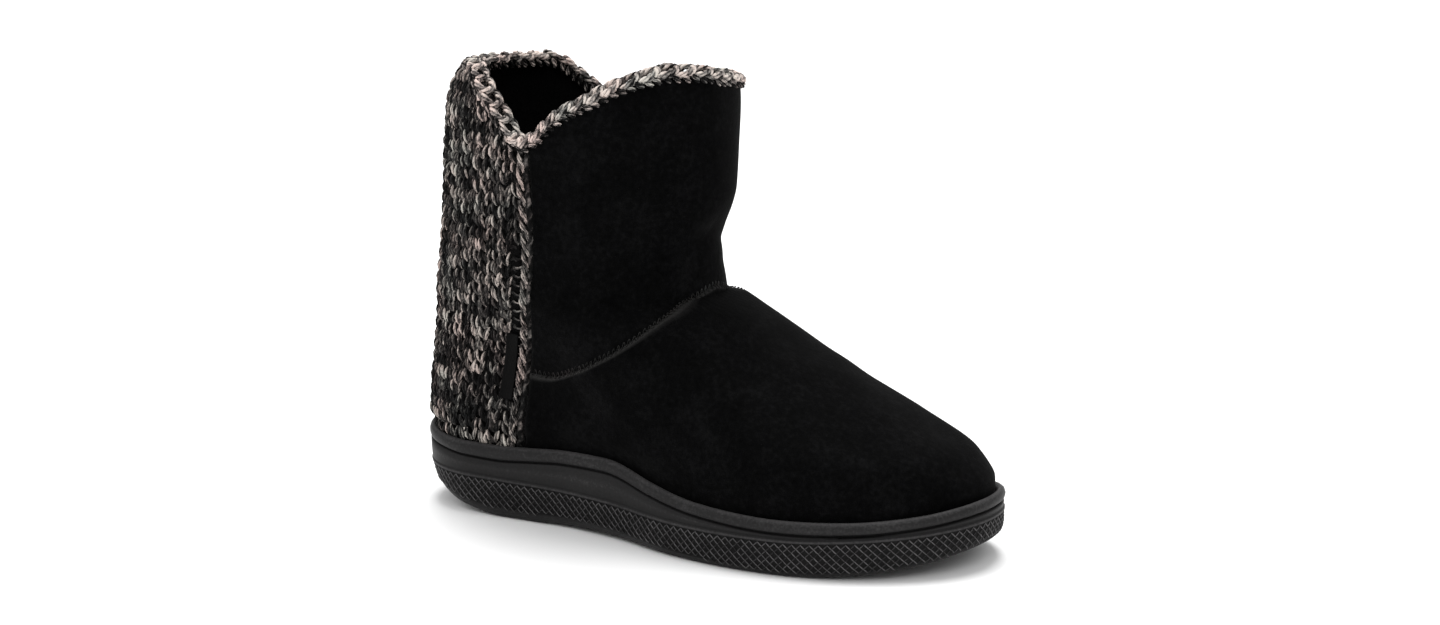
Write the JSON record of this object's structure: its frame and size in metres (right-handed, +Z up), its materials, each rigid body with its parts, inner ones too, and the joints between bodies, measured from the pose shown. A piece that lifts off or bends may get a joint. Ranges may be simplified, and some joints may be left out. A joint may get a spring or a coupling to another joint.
{
  "type": "slipper boot",
  "caption": "Short pull-on slipper boot for the right foot, suede front, marl knit back, crocheted collar edge and moulded rubber cup sole.",
  "frame": {"origin": "middle of the bounding box on the ground plane under the sole", "axes": "+X towards the toe, +Y towards the inner side of the right foot, +Z up"},
  "size_m": [0.265, 0.1016, 0.1984],
  "materials": {
    "sole_rubber": "satin moulded",
    "footbed_fleece": "fleece pile",
    "suede": "napped suede",
    "marl_knit": "marl sweater knit",
    "seam_yarn": "crocheted yarn",
    "collar_yarn": "crocheted yarn",
    "woven_tab": "woven ribbon"
  },
  "bodies": {
    "root": {"outsole": "sole_rubber", "insole": "footbed_fleece", "upper": "suede", "knit_back": "marl_knit", "seam_braid_lateral": "seam_yarn", "seam_braid_medial": "seam_yarn", "collar_binding": "collar_yarn", "side_tab": "woven_tab"}
  },
  "joints": []
}
